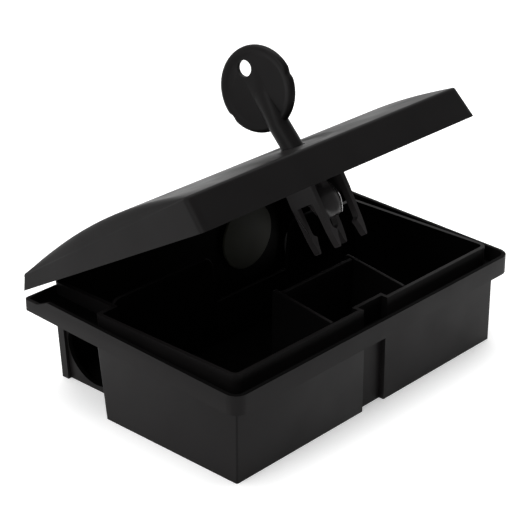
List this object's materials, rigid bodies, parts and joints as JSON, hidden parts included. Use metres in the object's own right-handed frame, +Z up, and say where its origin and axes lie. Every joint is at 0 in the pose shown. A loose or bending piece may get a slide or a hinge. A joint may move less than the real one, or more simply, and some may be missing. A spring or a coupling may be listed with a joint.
{
  "type": "mouse bait station",
  "caption": "Low walled tray with entry holes and partitions, a hinged domed lid, and a key-operated snap latch in a front well.",
  "frame": {"origin": "on the flat underside of the tray, midway along its length", "axes": "+X along the hinge, +Y towards the hinge, +Z up"},
  "size_m": [0.13, 0.0952, 0.1056],
  "materials": {
    "body": "satin black moulded plastic",
    "latch": "satin black moulded plastic",
    "key": "satin black moulded plastic",
    "cam": "glossy dark grey plastic",
    "disc": "dull olive black plastic"
  },
  "bodies": {
    "tray": {"base_tray": "body", "corridor_wall_left": "body", "corridor_wall_right": "body", "corridor_sill": "body", "well_wall_left": "body", "well_wall_right": "body", "well_wall_back": "body", "lock_catch": "body", "knockout_disc": "disc", "snap_bead_left": "body", "snap_bead_right": "body", "hinge_bracket_left": "body", "hinge_bracket_right": "body"},
    "lid": {"lid_shell": "body", "hinge_knuckle_left": "body", "hinge_knuckle_right": "body", "lock_sleeve": "latch"},
    "cam": {"lock_cam": "cam"},
    "key": {"key": "key"},
    "arm_left": {"latch_arm_left": "latch"},
    "arm_right": {"latch_arm_right": "latch"}
  },
  "joints": [
    {"name": "lid_hinge", "type": "hinge", "parent": "tray", "child": "lid", "pos_m": [0, 0.0485, 0.0308], "axis": [-1, 0, 0], "range_deg": [-33, 72]},
    {"name": "lock_turn", "type": "hinge", "parent": "lid", "child": "cam", "pos_m": [0, -0.00561, 0.07706], "axis": [0, 0.6858, 0.7278], "range_deg": [-90, 0]},
    {"name": "key_slide", "type": "slide", "parent": "cam", "child": "key", "axis": [0, 0.6858, 0.7278], "range_m": [0, 0.03]},
    {"name": "arm_left_flex", "type": "hinge", "parent": "lid", "child": "arm_left", "pos_m": [-0.0069, -0.00538, 0.07357], "axis": [0, -0.8387, 0.5446], "range_deg": [0, 4.7]},
    {"name": "arm_right_flex", "type": "hinge", "parent": "lid", "child": "arm_right", "pos_m": [0.0069, -0.00538, 0.07357], "axis": [0, 0.8387, -0.5446], "range_deg": [0, 4.7]}
  ],
  "couplings": [
    {"joint": "arm_left_flex", "follows": "lock_turn", "ratio": -0.0511},
    {"joint": "arm_right_flex", "follows": "lock_turn", "ratio": -0.0511}
  ]
}
